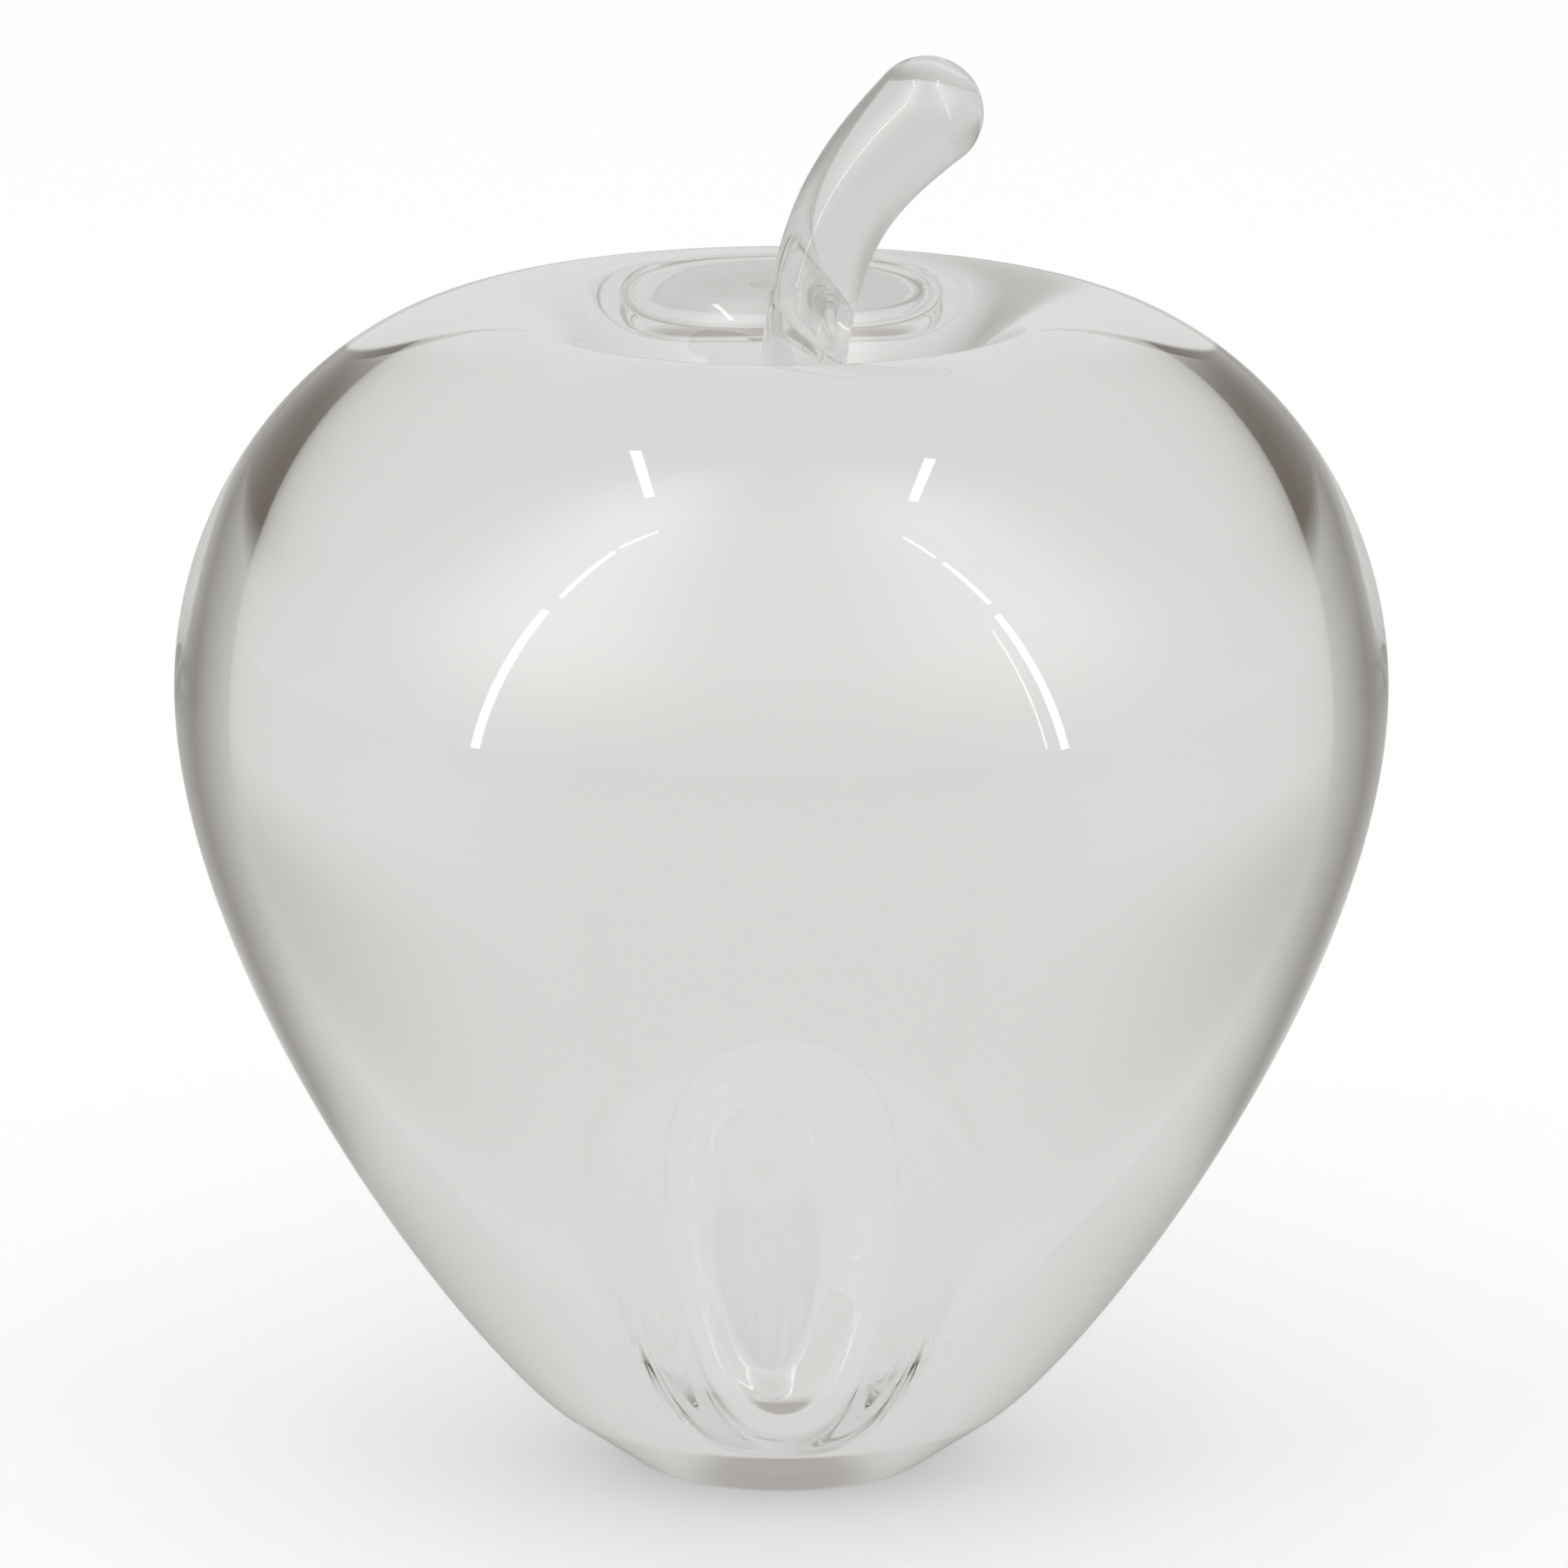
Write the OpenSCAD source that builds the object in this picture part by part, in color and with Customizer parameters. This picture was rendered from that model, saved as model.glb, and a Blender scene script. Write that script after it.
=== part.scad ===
// Solid clear glass apple with a bent glass stem.
// The body is one piece of glass, a little wider than deep, that stands on a small polished foot.
// The stem is a second piece of glass, fused by its flared foot to the floor of the dimple.
// Origin: centre of the flat foot. +Z is up, and the stem leans towards +X.

/* [Body] */
// Largest width of the body, from side to side
body_d = 88; // [72:1:106]
// Largest depth of the body, from front to back
body_depth = 81; // [72:1:106]
// Height of the widest ring above the table
equator_z = 58.2; // [51:0.1:63]
// Radius of the profile where the body is widest
equator_round = 31.5; // [22:0.5:36]
// Width of the ridge around the dimple
ridge_d = 43; // [36:1:52]
// Height of the ridge above the table
ridge_z = 86.2; // [80:0.1:104]
// How far the nearly level ridge runs out into the shoulder
shoulder_reach = 10; // [9:0.5:14]

/* [Foot] */
// Width of the flat face that stands on the table
foot_d = 21.5; // [14:0.5:26]
// Width of the edge between the polished bevel and the flank
foot_edge_d = 34; // [31:0.5:40]
// Height of the polished bevel
bevel_h = 4.4; // [2:0.1:6]
// Lean of the flank from upright, just above the bevel
foot_lean = 51; // [44:1:58]
// Length of flank that keeps this lean
foot_reach = 9.5; // [8:0.5:15]

/* [Dimple] */
// Depth of the dimple below the ridge
dimple_depth = 14; // [10:0.5:18]
// Slope of the dimple wall from level, where it meets the seat of the stem
floor_slope = 8; // [5:1:40]
// Length of dimple wall that keeps this slope
floor_reach = 4; // [3:0.5:7]

/* [Stem] */
// Diameter of the stem where it is thinnest, just above its foot
stem_d = 6.2; // [5:0.1:7.6]
// Diameter of the club-like upper end
club_d = 8.2; // [6.5:0.1:10]
// Diameter of the flared foot that is fused to the body
stem_foot_d = 10.4; // [9:0.1:13]
// Height of the flare of the stem's foot
flare_h = 6; // [4:0.5:8]
// Distance of the stem's foot from the body's axis
stem_foot_x = 1.2; // [0:0.1:2]
// Length of stem that rises nearly upright from the foot
stem_rise = 18.5; // [14:0.5:20]
// Distance of the centre of the club from the body's axis
club_x = 10.4; // [8:0.1:14]
// Height of the centre of the club above the ridge
club_rise = 14.3; // [12:0.1:20]
// Lean of the club from upright
club_lean = 47; // [30:1:60]
// Length of stem that keeps the lean of the club
club_reach = 8.6; // [6:0.1:11]

/* [Hidden] */
glass = "gainsboro";
glass_alpha = 0.6;
circle_sides = 96;

// Depth of the body as a share of its width, at every height
oval = body_depth / body_d;

// Glass that is ground off below the table to make the flat of the foot
ground_off = 1;

// Flat rim of the seat that stays free around the stem's foot, in the body's width and in its depth
seat_land = 0.4;
seat_d = max(stem_foot_d + 2 * (stem_foot_x + seat_land), (stem_foot_d + 2 * seat_land) / oval);
seat_z = ridge_z - dimple_depth;

// Chords of each stretch of the body's profile
flank_steps = 24;
shoulder_steps = 22;
dimple_steps = 20;

// Where along the stem the swelling to the club starts, and how late it gathers
swell_start = 0.2;
swell_power = 1.6;

// Rings and sides of the stem's skin, with the rings drawn together towards the foot
stem_sides = 32;
stem_steps = 30;
ring_crowding = 1.5;
cap_steps = 7;

// Points of a cubic curve with end points a and d and handles b and c
function curve(a, b, c, d, steps) = [
    for (i = [0:steps])
        let (t = i / steps, s = 1 - t)
        s * s * s * a + 3 * s * s * t * b + 3 * s * t * t * c + t * t * t * d
];

// Handle length that bends the end of a cubic to this radius, when the other handle lies this far aside
function handle(aside, radius) = sqrt(max(aside, 0) * radius / 1.5);

// Body profile, read upwards: bevel, flank, shoulder, ridge, dimple, seat
foot_edge = [foot_edge_d / 2, bevel_h];
bevel_run = (foot_edge_d - foot_d) / 2 / bevel_h;
bevel_start = [foot_d / 2 - ground_off * bevel_run, -ground_off];
flank_handle = foot_edge + foot_reach * [sin(foot_lean), cos(foot_lean)];
widest = [body_d / 2, equator_z];
ridge = [ridge_d / 2, ridge_z];
ridge_handle = ridge + [shoulder_reach, 0];
below_widest = handle(widest.x - flank_handle.x, equator_round);
above_widest = handle(widest.x - ridge_handle.x, equator_round);
seat_edge = [seat_d / 2, seat_z];
floor_handle = seat_edge + floor_reach * [cos(floor_slope), sin(floor_slope)];
// The dimple leaves the ridge with the same radius as the shoulder
ridge_round = 1.5 * pow(shoulder_reach, 2) / (ridge_z - equator_z - above_widest);
inside_ridge = min(handle(ridge_z - floor_handle.y, ridge_round), ridge.x - floor_handle.x);

flank = curve(foot_edge, flank_handle, widest - [0, below_widest], widest, flank_steps);
shoulder = curve(widest, widest + [0, above_widest], ridge_handle, ridge, shoulder_steps);
dimple = curve(ridge, ridge - [inside_ridge, 0], floor_handle, seat_edge, dimple_steps);

// A curve without its first point, which the stretch before it has already drawn
function rest(points) = [for (i = [1:len(points) - 1]) points[i]];

// The gather of glass as it is shaped hot: turned, then pressed a little flat from front to back.
// It is put together from four quarters, so that no face of the pressed form runs all the way round.
module gather() {
    outline = concat([[0, -ground_off], bevel_start], flank, rest(shoulder), rest(dimple), [[0, seat_z]]);
    for (quarter = [0:3])
        scale([1, oval, 1])
            rotate([0, 0, 90 * quarter])
                rotate_extrude(angle = 90, $fn = circle_sides)
                    polygon(outline);
}

// The gather with its foot ground flat
module apple_body() {
    color(glass, glass_alpha)
        difference() {
            gather();
            translate([-foot_edge_d, -foot_edge_d, -2 * ground_off])
                cube([2 * foot_edge_d, 2 * foot_edge_d, 2 * ground_off]);
        }
}

// Stem centreline as a cubic curve in the XZ plane
stem_start = [stem_foot_x, seat_z];
stem_end = [club_x, ridge_z + club_rise];
lean_way = [sin(club_lean), cos(club_lean)];
stem_bend = [stem_start + [0, stem_rise], stem_end - club_reach * lean_way];

function centre(t) =
    let (s = 1 - t)
    s * s * s * stem_start + 3 * s * s * t * stem_bend[0] + 3 * s * t * t * stem_bend[1] + t * t * t * stem_end;

function heading(t) =
    let (s = 1 - t,
         d = s * s * (stem_bend[0] - stem_start) + 2 * s * t * (stem_bend[1] - stem_bend[0])
             + t * t * (stem_end - stem_bend[1]))
    d / norm(d);

// Stem radius: an elliptic fillet that spreads out level at the seat, then a slow swelling to the club
function stem_radius(t) =
    let (down = max(1 - (centre(t).y - seat_z) / flare_h, 0),
         fillet = 1 - sqrt(1 - down * down),
         swell = pow(max(t - swell_start, 0) / (1 - swell_start), swell_power))
    stem_d / 2 + fillet * (stem_foot_d - stem_d) / 2 + swell * (club_d - stem_d) / 2;

// Ring of points of radius r around the centreline point c, square to the heading h
function ring(c, h, r) = [
    for (i = [0:stem_sides - 1])
        let (a = 360 * i / stem_sides)
        [c.x + r * cos(a) * h.y, r * sin(a), c.y - r * cos(a) * h.x]
];

module stem() {
    shaft = [
        for (i = [0:stem_steps])
            let (t = pow(i / stem_steps, ring_crowding))
            each ring(centre(t), heading(t), stem_radius(t))
    ];
    // The rounded end is a half ball around the end of the centreline
    ball = [
        for (i = [1:cap_steps - 1])
            let (a = 90 * i / cap_steps)
            each ring(stem_end + club_d / 2 * sin(a) * lean_way, lean_way, club_d / 2 * cos(a))
    ];
    tip = stem_end + club_d / 2 * lean_way;
    rings = stem_steps + cap_steps;
    last = rings * stem_sides;
    skin = [
        for (k = [0:rings - 2], i = [0:stem_sides - 1])
            let (j = (i + 1) % stem_sides, low = k * stem_sides, high = low + stem_sides)
            each [[low + i, low + j, high + j], [low + i, high + j, high + i]]
    ];
    cap = [for (i = [0:stem_sides - 1]) [last - stem_sides + i, last - stem_sides + (i + 1) % stem_sides, last]];
    foot = [[for (i = [0:stem_sides - 1]) stem_sides - 1 - i]];
    color(glass, glass_alpha)
        polyhedron(points = concat(shaft, ball, [[tip.x, 0, tip.y]]), faces = concat(skin, cap, foot));
}

apple_body();
stem();
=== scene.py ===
# Solid clear glass apple with a fused glass stem, standing in a pale light tent. Metres, Z up.
import math

import bpy
import numpy as np
from mathutils import Matrix, Vector


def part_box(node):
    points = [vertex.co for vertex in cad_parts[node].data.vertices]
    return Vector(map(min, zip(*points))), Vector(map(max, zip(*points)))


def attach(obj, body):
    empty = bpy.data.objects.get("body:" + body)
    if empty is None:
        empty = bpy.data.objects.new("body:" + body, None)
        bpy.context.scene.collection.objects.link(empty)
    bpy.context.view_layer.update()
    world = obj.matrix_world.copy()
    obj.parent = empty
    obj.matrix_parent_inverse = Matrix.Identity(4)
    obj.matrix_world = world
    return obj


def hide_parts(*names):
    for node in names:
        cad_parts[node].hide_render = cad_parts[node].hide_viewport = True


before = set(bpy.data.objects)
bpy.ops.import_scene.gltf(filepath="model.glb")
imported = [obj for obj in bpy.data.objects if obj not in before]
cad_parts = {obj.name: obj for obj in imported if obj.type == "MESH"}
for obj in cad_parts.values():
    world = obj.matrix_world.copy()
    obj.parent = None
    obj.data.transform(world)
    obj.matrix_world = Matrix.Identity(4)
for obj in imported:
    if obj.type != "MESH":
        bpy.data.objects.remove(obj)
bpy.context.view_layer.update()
mm = 0.001
print("frame loaded")


# Meshes

def linkPiece(name, points, faces, weld, crispRings=()):
    # points is n x 3 and faces a list of index lists. weld is 1 on the faces of the weld and 0 elsewhere.
    # crispRings holds the first and the last vertex of each crisp edge
    mesh = bpy.data.meshes.new(name)
    mesh.from_pydata(points.tolist(), [], faces)
    mesh.update()
    mesh.polygons.foreach_set("use_smooth", np.ones(len(mesh.polygons), bool))
    ends = np.empty(len(mesh.edges) * 2, np.int32)
    mesh.edges.foreach_get("vertices", ends)
    ends = ends.reshape(-1, 2)
    crisp = np.zeros(len(ends), bool)
    for first, last in crispRings:
        crisp |= ((ends >= first) & (ends <= last)).all(1)
    mesh.attributes.new("sharp_edge", "BOOLEAN", "EDGE").data.foreach_set("value", crisp)
    mesh.attributes.new("weld", "FLOAT", "FACE").data.foreach_set("value", weld.astype(np.float32))
    piece = bpy.data.objects.new(name, mesh)
    bpy.context.scene.collection.objects.link(piece)
    return piece


def skin(grid):
    # quads between the rows of a grid of closed rings, then a fan to the middle of its first row and one to
    # the middle of its last
    rows, cols = grid.shape[:2]
    points = np.vstack([grid.reshape(-1, 3), grid[0].mean(0), grid[-1].mean(0)])
    low = np.arange(rows - 1)[:, None] * cols + np.arange(cols)
    right = np.roll(low, -1, axis=1)
    sides = np.stack([low, right, right + cols, low + cols], -1).reshape(-1, 4)
    ring = np.arange(cols)
    top = ring + (rows - 1) * cols
    under = np.stack([np.roll(ring, -1), ring, np.full(cols, rows * cols)], -1)
    over = np.stack([top, np.roll(top, -1), np.full(cols, rows * cols + 1)], -1)
    return points, sides.tolist() + under.tolist() + over.tolist()


def cubic(a, b, c, d, t):
    # point of a cubic curve with ends a, d and handles b, c, for an array of t from 0 to 1
    t = t[:, None]
    return (1 - t) ** 3 * a + 3 * (1 - t) ** 2 * t * b + 3 * (1 - t) * t * t * c + t ** 3 * d


def roundCorner(before, corner, after, reach, count):
    # a parabola that leaves each side of the corner at this reach
    a = corner + reach * (before - corner) / np.linalg.norm(before - corner)
    c = corner + reach * (after - corner) / np.linalg.norm(after - corner)
    t = np.linspace(0, 1, count)[:, None]
    return (1 - t) ** 2 * a + 2 * (1 - t) * t * corner + t * t * c


# Stem: a drawn and bent glass bit

stemShape = {
    "footX": 1.2 * mm,         # axis of the foot, from the body's axis
    "footDiameter": 10.4 * mm,
    "neckDiameter": 6.2 * mm,
    "clubDiameter": 8.2 * mm,
    "flareHeight": 6.0 * mm,
    "rise": 18.5 * mm,         # how far the foot's upright direction carries
    "clubX": 10.4 * mm,
    "clubReach": 8.6 * mm,     # how far the club's lean carries back
    "clubLean": 47,            # degrees from upright
    "swellStart": 0.2,         # where along the curve the swelling starts, from 0 to 1
    "swellPower": 1.6,         # how late it gathers
    "around": 140,
    "along": 150,
    "crowding": 1.5,           # draws the rows together towards the flare
    "capRows": 26,
}


def makeStem():
    s = stemShape
    seat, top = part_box("stem")[0].z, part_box("stem")[1].z
    ball = s["clubDiameter"] / 2
    lean = math.radians(s["clubLean"])
    way = np.array([math.sin(lean), math.cos(lean)])
    start, end = np.array([s["footX"], seat]), np.array([s["clubX"], top - ball])
    handles = start + [0, s["rise"]], end - s["clubReach"] * way
    # centreline: cubic in x and z
    t = np.linspace(0, 1, s["along"]) ** s["crowding"]
    line = cubic(start, *handles, end, t)
    heading = np.gradient(line, t, axis=0, edge_order=2)
    heading[0], heading[-1] = [0, 1], way
    heading /= np.linalg.norm(heading, axis=1)[:, None]
    # radius: elliptic fillet at the seat, thin neck, slow swelling to the club
    down = np.clip(1 - (line[:, 1] - seat) / s["flareHeight"], 0, 1)
    swell = (np.clip(t - s["swellStart"], 0, 1) / (1 - s["swellStart"])) ** s["swellPower"]
    radius = (s["neckDiameter"] + (1 - np.sqrt(1 - down ** 2)) * (s["footDiameter"] - s["neckDiameter"])
              + swell * (s["clubDiameter"] - s["neckDiameter"])) / 2
    # rounded end: half a ball round the end of the centreline
    turn = np.linspace(0, math.pi / 2, s["capRows"] + 1)[1:-1]
    line = np.vstack([line, end + ball * np.sin(turn)[:, None] * way])
    heading = np.vstack([heading, np.repeat([way], len(turn), 0)])
    radius = np.concatenate([radius, ball * np.cos(turn)])
    # rings square to the centreline: side = cos * across + sin * y
    a = np.linspace(0, 2 * math.pi, s["around"], endpoint=False)
    grid = np.stack([
        line[:, :1] + radius[:, None] * np.cos(a) * heading[:, 1:],
        radius[:, None] * np.sin(a),
        line[:, 1:] - radius[:, None] * np.cos(a) * heading[:, :1],
    ], -1)
    points, faces = skin(grid)
    points[-1] = [end[0] + ball * way[0], 0, end[1] + ball * way[1]]  # the tip lies on the ball
    weld = np.zeros(len(faces))
    weld[-2 * s["around"]:-s["around"]] = 1  # the fan under the foot
    return linkPiece("stemGlass", points, faces, weld, [(0, s["around"] - 1)])


# Body: one gather of glass, turned hot and pressed a little flat from front to back

bodyShape = {
    "equatorHeight": 58.2 * mm,
    "equatorRound": 31.5 * mm,    # radius of the profile where the body is widest
    "ridgeDiameter": 43 * mm,
    "shoulderReach": 10 * mm,     # how far the nearly level ridge runs out
    "footDiameter": 21.5 * mm,
    "edgeDiameter": 34 * mm,      # edge between bevel and flank
    "bevelHeight": 4.4 * mm,
    "flankLean": 51,              # degrees from upright, just above the bevel
    "flankReach": 9.5 * mm,       # how far that lean carries
    "floorSlope": 8,              # degrees from level, where the dimple meets the seat
    "floorReach": 4 * mm,         # how far that slope carries
    "seatLand": 0.4 * mm,         # flat rim that stays free around the stem's foot
    "edgeSoft": 0.35 * mm,        # how far from its corner the edge above the bevel is rounded
    "footSoft": 0.5 * mm,         # and the edge of the flat
    "footStart": 0.5 * mm,        # radius of the innermost ring under the foot
    "footClear": 1.2,             # the flat's rings stop at this many times footSoft from its edge
    "flankClear": 1.3,            # and the flank's start past this many times edgeSoft
    "around": 280,
    "footRows": 12,
    "footEdgeRows": 9,
    "bevelRows": 12,
    "flankEdgeRows": 7,
    "flankRows": 120,
    "shoulderRows": 76,
    "dimpleRows": 66,
    "seatRows": 6,
    "weldRows": 5,
    "weldBelow": 0.02 * mm,       # how far the body's disc of the weld lies under the stem's
}


def handle(aside, radius):
    # handle length that bends the end of a cubic to this radius, when its other handle lies this far aside:
    # radius = 1.5 * handle squared / aside
    return math.sqrt(aside * radius / 1.5)


def bodyProfile(width, ridgeTop, seat, oval):
    # radius and height of each ring, from the middle of the foot up over the ridge and down to the seat:
    # a straight flat and bevel with rounded corners, then a cubic each for flank, shoulder and dimple
    s = bodyShape
    lean, slope = math.radians(s["flankLean"]), math.radians(s["floorSlope"])
    flat = np.array([s["footDiameter"] / 2, 0])
    edge = np.array([s["edgeDiameter"] / 2, s["bevelHeight"]])
    flankHandle = edge + s["flankReach"] * np.array([math.sin(lean), math.cos(lean)])
    widest = np.array([width / 2, s["equatorHeight"]])
    ridge = np.array([s["ridgeDiameter"] / 2, ridgeTop])
    ridgeHandle = ridge + [s["shoulderReach"], 0]
    below = handle(widest[0] - flankHandle[0], s["equatorRound"])
    above = handle(widest[0] - ridgeHandle[0], s["equatorRound"])
    foot, land = stemShape["footDiameter"] / 2, s["seatLand"]
    seatEdge = np.array([max(foot + stemShape["footX"] + land, (foot + land) / oval), seat])
    floorHandle = seatEdge + s["floorReach"] * np.array([math.cos(slope), math.sin(slope)])
    # the dimple leaves the ridge with the same radius as the shoulder
    ridgeRound = 1.5 * s["shoulderReach"] ** 2 / (ridge[1] - widest[1] - above)
    inside = min(handle(ridge[1] - floorHandle[1], ridgeRound), ridge[0] - floorHandle[0])
    flank = cubic(edge, flankHandle, widest - [0, below], widest, np.linspace(0, 1, s["flankRows"]))
    shoulder = cubic(widest, widest + [0, above], ridgeHandle, ridge, np.linspace(0, 1, s["shoulderRows"]))
    dimple = cubic(ridge, ridge - [inside, 0], floorHandle, seatEdge, np.linspace(0, 1, s["dimpleRows"]))
    sole = np.linspace([s["footStart"], 0], flat - [s["footSoft"] * s["footClear"], 0], s["footRows"])
    footEdge = roundCorner(sole[0], flat, edge, s["footSoft"], s["footEdgeRows"])
    flankEdge = roundCorner(flat, edge, flank[2], s["edgeSoft"], s["flankEdgeRows"])
    bevel = np.linspace(footEdge[-1], flankEdge[0], s["bevelRows"] + 2)[1:-1]
    clear = flank[np.linalg.norm(flank - edge, axis=1) > s["edgeSoft"] * s["flankClear"]]
    return np.vstack([sole, footEdge, bevel, flankEdge, clear, shoulder[1:], dimple[1:]])


def makeBody():
    s = bodyShape
    low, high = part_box("apple_body")
    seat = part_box("stem")[0].z
    oval = (high.y - low.y) / (high.x - low.x)
    profile = bodyProfile(high.x - low.x, high.z, seat, oval)
    # rings: x = radius * cos, y = oval * radius * sin
    a = np.linspace(0, 2 * math.pi, s["around"], endpoint=False)
    turned = np.stack([
        profile[:, :1] * np.cos(a),
        profile[:, :1] * np.sin(a) * oval,
        np.repeat(profile[:, 1:], s["around"], 1),
    ], -1)
    # level rings that pass from the oval seat to the round foot of the stem, then close under the weld
    foot = stemShape["footDiameter"] / 2 * np.c_[np.cos(a), np.sin(a)]
    share = np.linspace(0, 1, s["seatRows"] + 1)[1:, None, None]
    free = turned[-1, :, :2] * (1 - share) + (foot + [stemShape["footX"], 0]) * share
    inward = np.linspace(1, 0, s["weldRows"] + 2)[1:-1, None, None]
    under = foot * inward + [stemShape["footX"], 0]
    seatRings = np.concatenate([free, under])
    # the weld's disc lies a hair under the stem's, because coincident faces swallow light
    level = np.where(np.arange(len(seatRings)) < len(free), seat, seat - s["weldBelow"])
    level = np.broadcast_to(level[:, None, None], (*seatRings.shape[:2], 1))
    seatRings = np.concatenate([seatRings, level], -1)
    grid = np.concatenate([turned, seatRings])
    points, faces = skin(grid)
    # the weld is the last rows of quads and the fan that closes them
    weld = np.zeros(len(faces))
    rows, cols = grid.shape[:2]
    weld[(rows - 1 - s["weldRows"]) * cols:(rows - 1) * cols] = 1
    weld[-cols:] = 1
    return linkPiece("bodyGlass", points, faces, weld)


body, stem = makeBody(), makeStem()
for piece, nodeName in ((body, "apple_body"), (stem, "stem")):
    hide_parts(nodeName)
    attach(piece, "root")
print("glass shapes made:", [len(p.data.polygons) for p in (body, stem)])


# Materials

def linear(hexColour):
    # sRGB hex, such as "dfe4de", to linear red, green, blue and alpha 1
    parts = [int(hexColour[i:i + 2], 16) / 255 for i in (0, 2, 4)]
    return (*[c / 12.92 if c <= 0.04045 else ((c + 0.055) / 1.055) ** 2.4 for c in parts], 1)


def addNode(tree, kind, inputs=None, **settings):
    # one node: settings are its own properties, and inputs are values or output sockets,
    # each under the name or the number of its socket
    node = tree.nodes.new(kind)
    for key, value in settings.items():
        setattr(node, key, value)
    for key, value in (inputs or {}).items():
        socket = node.inputs[key]
        if isinstance(value, bpy.types.NodeSocket):
            tree.links.new(value, socket)
        else:
            socket.default_value = value
    return node


def newMaterial(name):
    material = bpy.data.materials.new(name)
    material.use_nodes = True
    material.node_tree.nodes.clear()
    return material, material.node_tree


crystal = {
    "ior": 1.57,
    "tint": "fdfdfd",          # the faint colour of one pass through the skin
    "depthTint": "c0c8c2",     # colour that a long way through the glass tends to
    "depth": 0.8,              # how densely the body takes it on, per metre
    "stemDepth": 34,           # and the stem, far more densely, so that it looks greyer
    "waveWidth": 16 * mm,      # slow unevenness left by the shaping tools
    "waveHeight": 0.004 * mm,
}


def clearGlass(name, density):
    # Fire-polished lead glass: mirror-smooth, colourless when thin, green-grey along the long inner ways
    material, tree = newMaterial(name)
    place = addNode(tree, "ShaderNodeTexCoord")
    wave = addNode(tree, "ShaderNodeTexNoise", {
        "Vector": place.outputs["Object"], "Scale": 1 / crystal["waveWidth"], "Detail": 1.0,
    })
    uneven = addNode(tree, "ShaderNodeBump", {
        "Strength": 1.0, "Distance": crystal["waveHeight"], "Height": wave.outputs["Fac"],
    })
    # at the weld the two pieces are one glass, so light passes there unbent: index = ior + weld * (1 - ior)
    weld = addNode(tree, "ShaderNodeAttribute", attribute_name="weld")
    index = addNode(tree, "ShaderNodeMath", {
        0: weld.outputs["Fac"], 1: 1 - crystal["ior"], 2: crystal["ior"],
    }, operation="MULTIPLY_ADD")
    glass = addNode(tree, "ShaderNodeBsdfPrincipled", {
        "Base Color": linear(crystal["tint"]),
        "Roughness": 0.0,
        "IOR": crystal["ior"],
        "Transmission Weight": 1.0,
        "Normal": uneven.outputs["Normal"],
    })
    tree.links.new(index.outputs[0], glass.inputs["IOR"])
    depth = addNode(tree, "ShaderNodeVolumeAbsorption", {
        "Color": linear(crystal["depthTint"]),
        "Density": density,
    })
    addNode(tree, "ShaderNodeOutputMaterial", {"Surface": glass.outputs[0], "Volume": depth.outputs[0]})
    return material


# the stem is drawn hot: as smooth and bright as the body, but a little greyer to look through
body.data.materials.append(clearGlass("firePolishedClearGlass", crystal["depth"]))
stem.data.materials.append(clearGlass("hotDrawnGreyishGlass", crystal["stemDepth"]))
print("glass materials made")


# Floor, tent, lamps and camera

def insideRegion(tree, measures, region, most=1.0):
    # how far a place or direction lies inside a region, from 0 to the value most. A region lists its edges:
    # the measure that crosses each one, where it is fully outside and where it is fully inside
    for name, outside, inside in region:
        most = addNode(tree, "ShaderNodeMapRange", {
            "Value": measures[name], "From Min": outside, "From Max": inside, "To Max": most,
        }, interpolation_type="SMOOTHSTEP").outputs[0]
    return most


def coverColour(tree, colour, *covers):
    # a colour with others laid over it in turn, each by its own share from 0 to 1
    for share, cover in covers:
        colour = addNode(tree, "ShaderNodeMix", {
            "Factor": share, 6: colour, 7: cover,
        }, data_type="RGBA").outputs[2]
    return colour


floorLook = {
    "half": 3.0,                  # from its middle to its sides, in metres
    "below": 0.1 * mm,            # a hair under the foot, so that the two faces don't coincide
    "colour": "e2e2df",
    "cameraSees": (1.35, 1.35, 1.38, 1),  # linear, over 1: white round the object, with its shadow
    "seenThrough": "e0e0de",      # as light as the tent's wall, where the glass looks down through itself
    # painted shade: the unlit floor beyond the tent's front, seen only through the glass
    "frontColour": "4a3620",      # where the lit floor ends, towards the viewer
    "frontRegion": (("y", -0.55, -0.95),),
    # painted shadow: a darker patch off to one side under the foot, seen only through the glass
    "shadeColour": "b4b6b1",      # the shadow under the foot, as the glass shows it
    "shadeMiddle": (-30 * mm, -8 * mm, 0),
    "shadeRegion": (("fromShade", 36 * mm, 12 * mm),),
}


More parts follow.
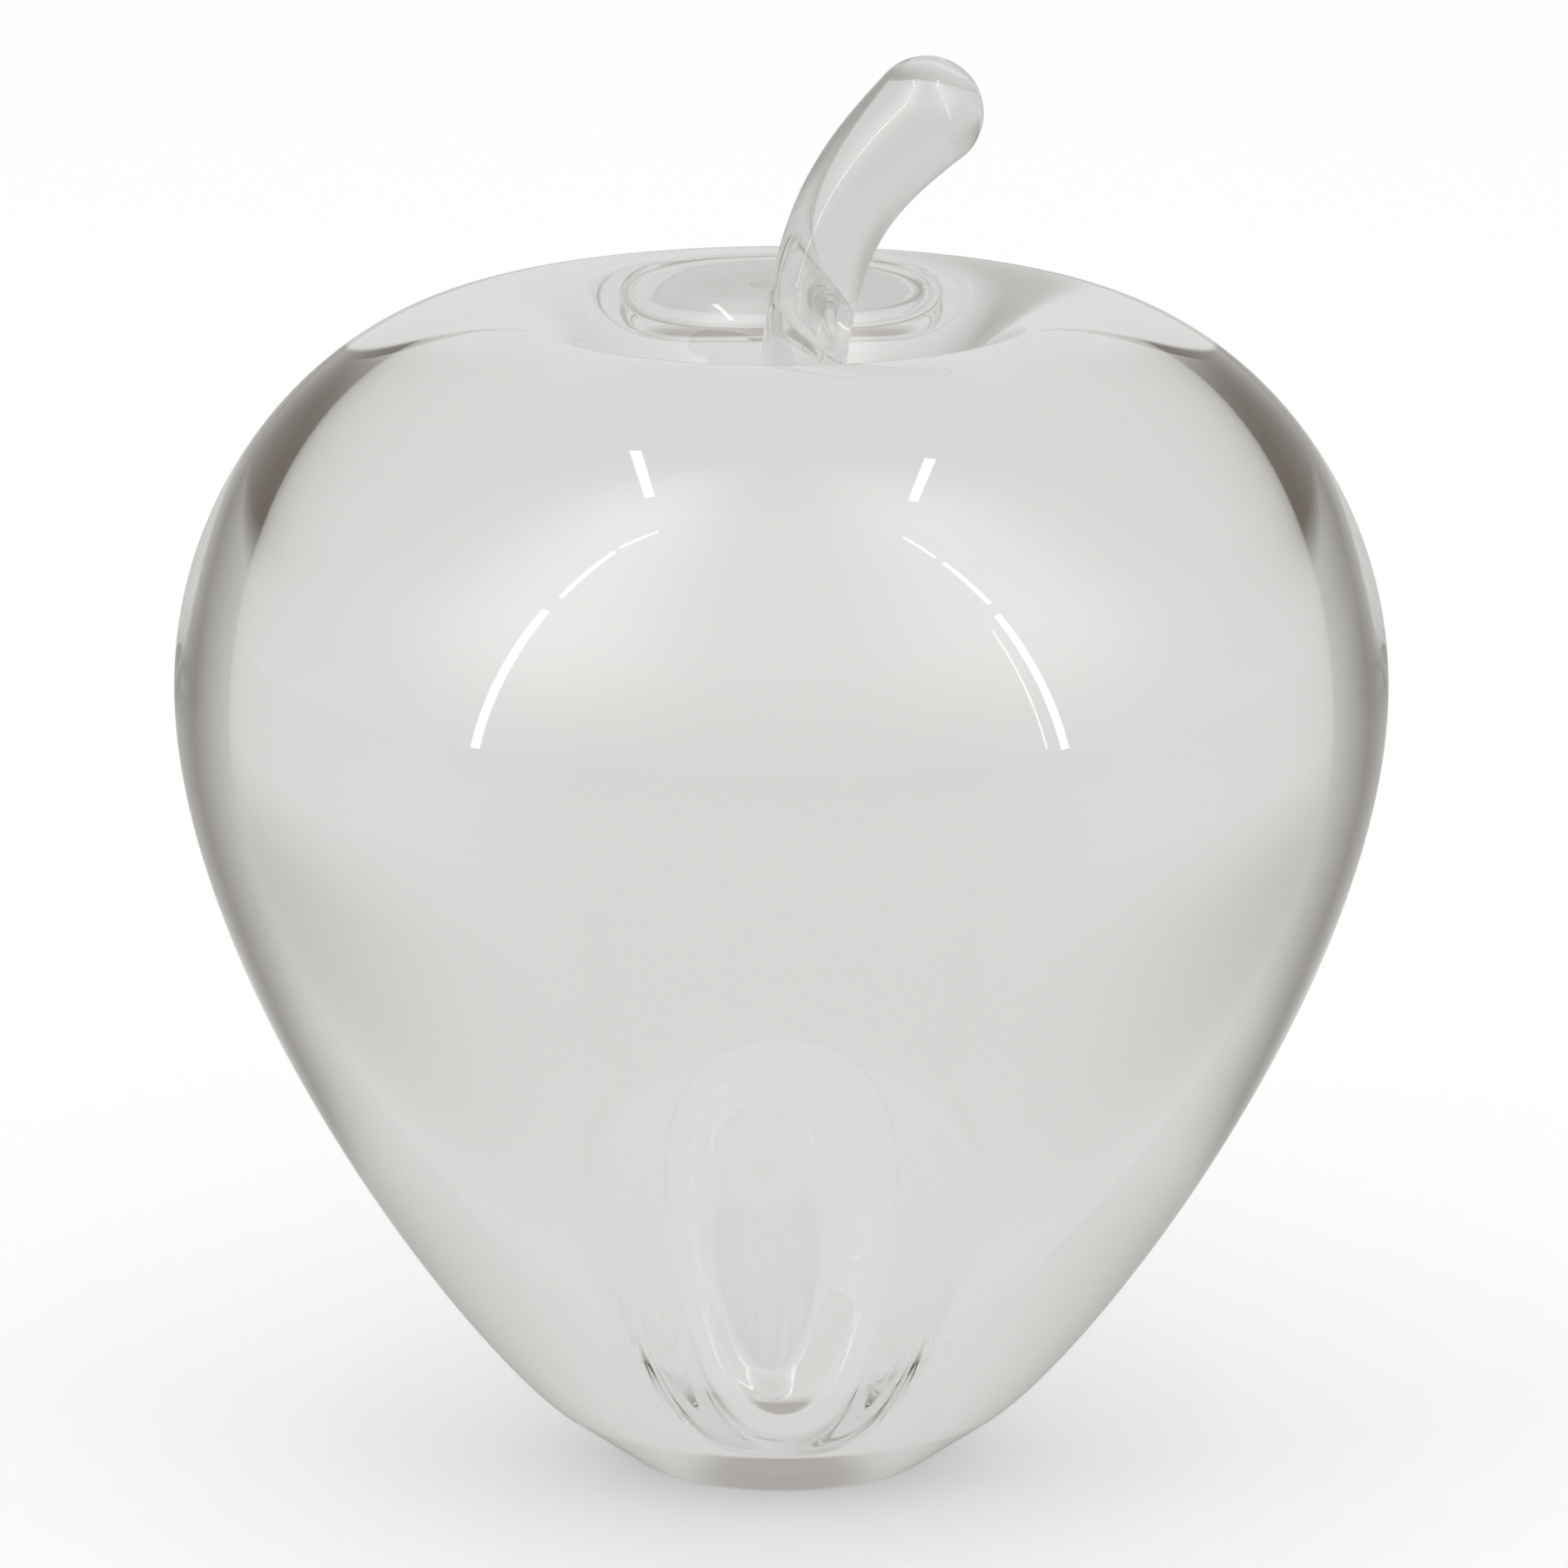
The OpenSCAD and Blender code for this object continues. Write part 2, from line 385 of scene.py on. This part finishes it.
def makeFloor():
    # Bleached tent cloth, matt and even. Seen through the glass it has a plain brightness of its own
    # instead of its lit look, which the object's real shadow doesn't darken; a painted shadow under the
    # foot and painted shade where the lit floor ends towards the viewer are laid over it
    look = floorLook
    half, z = look["half"], -look["below"]
    corners = [(-half, -half, z), (half, -half, z), (half, half, z), (-half, half, z)]
    mesh = bpy.data.meshes.new("floor")
    mesh.from_pydata(corners, [], [(0, 1, 2, 3)])
    floor = bpy.data.objects.new("floor", mesh)
    bpy.context.scene.collection.objects.link(floor)
    material, tree = newMaterial("paleTentFloor")
    path = addNode(tree, "ShaderNodeLightPath")
    place = addNode(tree, "ShaderNodeTexCoord")
    along = addNode(tree, "ShaderNodeSeparateXYZ", {0: place.outputs["Object"]})
    apart = addNode(tree, "ShaderNodeVectorMath", {
        0: place.outputs["Object"], 1: look["shadeMiddle"],
    }, operation="DISTANCE")
    measures = {"y": along.outputs["Y"], "fromShade": apart.outputs["Value"]}
    # the look through the glass: plain brightness, then the painted shadow under the foot, then the painted
    # shade beyond the lit floor
    through = coverColour(
        tree, linear(look["seenThrough"]),
        (insideRegion(tree, measures, look["shadeRegion"]), linear(look["shadeColour"])),
        (insideRegion(tree, measures, look["frontRegion"]), linear(look["frontColour"])),
    )
    seen = coverColour(tree, linear(look["colour"]), (path.outputs["Is Camera Ray"], look["cameraSees"]))
    cloth = addNode(tree, "ShaderNodeBsdfDiffuse", {"Color": seen})
    plain = addNode(tree, "ShaderNodeEmission", {"Color": through, "Strength": 1.0})
    both = addNode(tree, "ShaderNodeMixShader", {
        0: path.outputs["Is Transmission Ray"], 1: cloth.outputs[0], 2: plain.outputs[0],
    })
    addNode(tree, "ShaderNodeOutputMaterial", {"Surface": both.outputs[0]})
    mesh.materials.append(material)


makeFloor()

# Directions in degrees: azimuth 0 is towards the viewer and 180 behind the object, and only lampGlow tells
# the left side from the right
tent = {
    "backdrop": "ffffff",
    "wall": "e0e0de",
    "sideShade": "c4c4c0",          # the side walls, low down, down to where they bend into the floor
    "sideRegion": (("azimuth", 170, 116), ("elevation", 32, 12), ("elevation", -3, 9)),
    "ceiling": "b3aea8",
    "ceilingRegion": (("elevation", 68, 80),),  # as the glass shows it
    "dimRoom": "4a3620",            # what shows through the tent's door, behind the viewer
    "doorInner": 17,                # azimuth where the door starts to fade
    "doorEdge": (27, 43),           # azimuth of its edge, at these two elevations
    "doorEdgeAt": (20, 57),
    "doorTop": ((24, 40, 1.0), (40, 72, 0.5)),  # two fades upwards: from, to and the darkness before it
    "doorRegion": (("elevation", -4, 0),),      # it ends at the floor
    "slotRegion": (("elevation", 12.8, 10.2), ("azimuth", 34, 26)),  # a low slot under its edge
    "glowRegion": (("elevation", -3, 22), ("elevation", 90, 58)),    # how high the lit cloth reaches
    "frontGlow": 1.0,               # light that it adds at the front, as a share of the wall's
    "frontRegion": (("azimuth", 105, 55),),
    "lampGlow": (2.6, 1.8),         # and beside the lamps, on the left and on the right
    "lampAzimuth": 45,
    "lampRegion": (("fromLamps", 38, 0),),
    "lampBlend": 0.2,               # the two sides blend where a direction's x is under this
    "backDim": 0.36,                # light taken away from the corners of the back wall, low down
    "backRegion": (("azimuth", 108, 130), ("azimuth", 172, 154), ("elevation", 42, 22)),
}


def tentDirections(tree, x, y, z):
    # azimuth = arctan of |x| over -y, elevation = arcsin of z, and fromLamps = |azimuth - lampAzimuth|
    aside = addNode(tree, "ShaderNodeMath", {0: x}, operation="ABSOLUTE")
    forward = addNode(tree, "ShaderNodeMath", {0: y, 1: -1.0}, operation="MULTIPLY")
    turned = addNode(tree, "ShaderNodeMath", {
        0: aside.outputs[0], 1: forward.outputs[0],
    }, operation="ARCTAN2")
    raised = addNode(tree, "ShaderNodeMath", {0: z}, operation="ARCSINE")
    azimuth = addNode(tree, "ShaderNodeMath", {0: turned.outputs[0]}, operation="DEGREES")
    elevation = addNode(tree, "ShaderNodeMath", {0: raised.outputs[0]}, operation="DEGREES")
    past = addNode(tree, "ShaderNodeMath", {
        0: azimuth.outputs[0], 1: tent["lampAzimuth"],
    }, operation="SUBTRACT")
    fromLamps = addNode(tree, "ShaderNodeMath", {0: past.outputs[0]}, operation="ABSOLUTE")
    measures = {"azimuth": azimuth, "elevation": elevation, "fromLamps": fromLamps}
    return {name: node.outputs[0] for name, node in measures.items()}


def tentDoor(tree, measures, seenThrough):
    # how dark the door is, where the glass looks at it: the darkness at this height, which fades from
    # doorInner to an edge that moves out with height, or else the slot
    (low, high), (lowEdge, highEdge) = tent["doorEdgeAt"], tent["doorEdge"]
    edge = addNode(tree, "ShaderNodeMapRange", {
        "Value": measures["elevation"], "From Min": low, "From Max": high,
        "To Min": lowEdge, "To Max": highEdge,
    })
    strong, faint = [addNode(tree, "ShaderNodeMapRange", {
        "Value": measures["elevation"], "From Min": start, "From Max": end,
        "To Min": darkness, "To Max": 0.0,
    }) for start, end, darkness in tent["doorTop"]]
    upward = addNode(tree, "ShaderNodeMath", {
        0: strong.outputs[0], 1: faint.outputs[0],
    }, operation="MAXIMUM")
    across = addNode(tree, "ShaderNodeMapRange", {
        "Value": measures["azimuth"], "From Min": tent["doorInner"], "From Max": edge.outputs[0],
        "To Min": upward.outputs[0], "To Max": 0.0,
    })
    slot = insideRegion(tree, measures, tent["slotRegion"])
    door = addNode(tree, "ShaderNodeMath", {0: across.outputs[0], 1: slot}, operation="MAXIMUM")
    shown = addNode(tree, "ShaderNodeMath", {0: door.outputs[0], 1: seenThrough}, operation="MULTIPLY")
    return insideRegion(tree, measures, tent["doorRegion"], shown.outputs[0])


def tentStrength(tree, measures, x, mirrored):
    # strength = 1 + front * frontGlow + lamps * lampGlow - back * backDim, where front, lamps and back are
    # shares of their regions that count only in what the polished skin mirrors
    lit = insideRegion(tree, measures, tent["glowRegion"], mirrored)
    left, right = tent["lampGlow"]
    side = addNode(tree, "ShaderNodeMapRange", {
        "Value": x, "From Min": -tent["lampBlend"], "From Max": tent["lampBlend"],
        "To Min": left, "To Max": right,
    })
    front = addNode(tree, "ShaderNodeMath", {
        0: insideRegion(tree, measures, tent["frontRegion"], lit), 1: tent["frontGlow"], 2: 1.0,
    }, operation="MULTIPLY_ADD")
    lamps = addNode(tree, "ShaderNodeMath", {
        0: insideRegion(tree, measures, tent["lampRegion"], lit), 1: side.outputs[0], 2: front.outputs[0],
    }, operation="MULTIPLY_ADD")
    back = insideRegion(tree, measures, tent["backRegion"], mirrored)
    return addNode(tree, "ShaderNodeMath", {
        0: back, 1: -tent["backDim"], 2: lamps.outputs[0],
    }, operation="MULTIPLY_ADD").outputs[0]


def makeTent():
    world = bpy.data.worlds.new("lightTent")
    bpy.context.scene.world = world
    world.use_nodes = True
    tree = world.node_tree
    tree.nodes.clear()
    path = addNode(tree, "ShaderNodeLightPath")
    place = addNode(tree, "ShaderNodeTexCoord")
    way = addNode(tree, "ShaderNodeSeparateXYZ", {0: place.outputs["Generated"]})
    measures = tentDirections(tree, *way.outputs)
    # a ray bent by the glass counts as glossy too, so a mirrored one is glossy but not bent
    seenThrough = path.outputs["Is Transmission Ray"]
    mirrored = addNode(tree, "ShaderNodeMath", {
        0: path.outputs["Is Glossy Ray"], 1: seenThrough,
    }, operation="SUBTRACT").outputs[0]
    seen = coverColour(
        tree, linear(tent["wall"]),
        (insideRegion(tree, measures, tent["sideRegion"]), linear(tent["sideShade"])),
        (insideRegion(tree, measures, tent["ceilingRegion"], seenThrough), linear(tent["ceiling"])),
        (tentDoor(tree, measures, seenThrough), linear(tent["dimRoom"])),
        (path.outputs["Is Camera Ray"], linear(tent["backdrop"])),
    )
    strength = tentStrength(tree, measures, way.outputs["X"], mirrored)
    light = addNode(tree, "ShaderNodeBackground", {"Color": seen, "Strength": strength})
    addNode(tree, "ShaderNodeOutputWorld", {"Surface": light.outputs[0]})


makeTent()

# Thin lamp bars up both front posts of the tent and along its roof: both ends and the width in millimetres,
# then the radiance, where 1 is a white wall's
lampBars = {
    "postLeftTop": ((-250, -352, 735), (-285, -325, 595), 7, 6),
    "postLeftMiddle": ((-287, -323, 570), (-312, -303, 375), 9, 6),
    "postLeftLow": ((-320, -296, 335), (-350, -265, 55), 14, 6),
    "postRightTop": ((240, -360, 700), (265, -345, 560), 7, 6),
    "postRightMiddle": ((270, -340, 530), (294, -320, 365), 9, 6),
    "postRightLow": ((297, -320, 335), (328, -290, 60), 12, 6),
    "postRightInner": ((283, -332, 300), (311, -310, 65), 3, 5),
    "roofLeft": ((-100, -4, 380), (-110, -107, 380), 9, 6),
    "roofRight": ((106, -22, 380), (112, -115, 380), 9, 6),
}
lampAim = Vector((0, 0, 60 * mm))  # the point that they all face


def makeLamps():
    for name, (low, high, width, radiance) in lampBars.items():
        low, high = Vector(low) * mm, Vector(high) * mm
        data = bpy.data.lights.new(name, "AREA")
        data.shape = "RECTANGLE"
        data.size, data.size_y = (high - low).length, width * mm
        data.energy = radiance * math.pi * data.size * data.size_y
        lamp = bpy.data.objects.new(name, data)
        bpy.context.scene.collection.objects.link(lamp)
        # local X runs along the bar, and local -Z faces the object
        middle, along = (low + high) / 2, (high - low).normalized()
        away = middle - lampAim
        away = (away - away.dot(along) * along).normalized()
        turn = Matrix((along, away.cross(along), away)).transposed().to_4x4()
        lamp.matrix_world = Matrix.Translation(middle) @ turn
        lamp.visible_camera = False
        lamp.visible_transmission = False


makeLamps()

photoView = {
    "elevation": 15.2,         # degrees
    "distance": 850 * mm,
    "pixelsPerMm": 15.78,      # at that distance, in a picture 1802 pixels wide
    "pictureSize": 1802,
    "axisAt": (898.0, 989.0),  # where the point 45 mm up the axis shows, in those pixels
    "pivotHeight": 45 * mm,
    "sensorWidth": 36,         # millimetres
    "clip": (0.05, 50),        # metres
}


def placeCamera():
    v = photoView
    e = math.radians(v["elevation"])
    back, up = Vector((0, -math.cos(e), math.sin(e))), Vector((0, math.sin(e), math.cos(e)))
    pivot = Vector((0, 0, v["pivotHeight"]))
    aside = (v["pictureSize"] / 2 - v["axisAt"][0]) / v["pixelsPerMm"] * mm
    above = (v["axisAt"][1] - v["pictureSize"] / 2) / v["pixelsPerMm"] * mm
    data = bpy.data.cameras.new("camera")
    data.sensor_width = v["sensorWidth"]
    data.lens = v["sensorWidth"] * v["pixelsPerMm"] * v["distance"] / mm / v["pictureSize"]
    camera = bpy.data.objects.new("camera", data)
    bpy.context.scene.collection.objects.link(camera)
    camera.location = pivot + back * v["distance"]
    aim = pivot + Vector((aside, 0, 0)) + up * above
    camera.rotation_mode = "QUATERNION"
    camera.rotation_quaternion = (aim - camera.location).to_track_quat("-Z", "Y")
    data.clip_start, data.clip_end = v["clip"]
    bpy.context.scene.camera = camera


placeCamera()

# many bounces, because light turns round inside clear glass for long
lightBounces = 32
scene = bpy.context.scene
scene.view_settings.view_transform = "Standard"
scene.cycles.max_bounces = lightBounces
scene.cycles.transmission_bounces = lightBounces
scene.cycles.glossy_bounces = lightBounces
print("stage, tent and camera set")
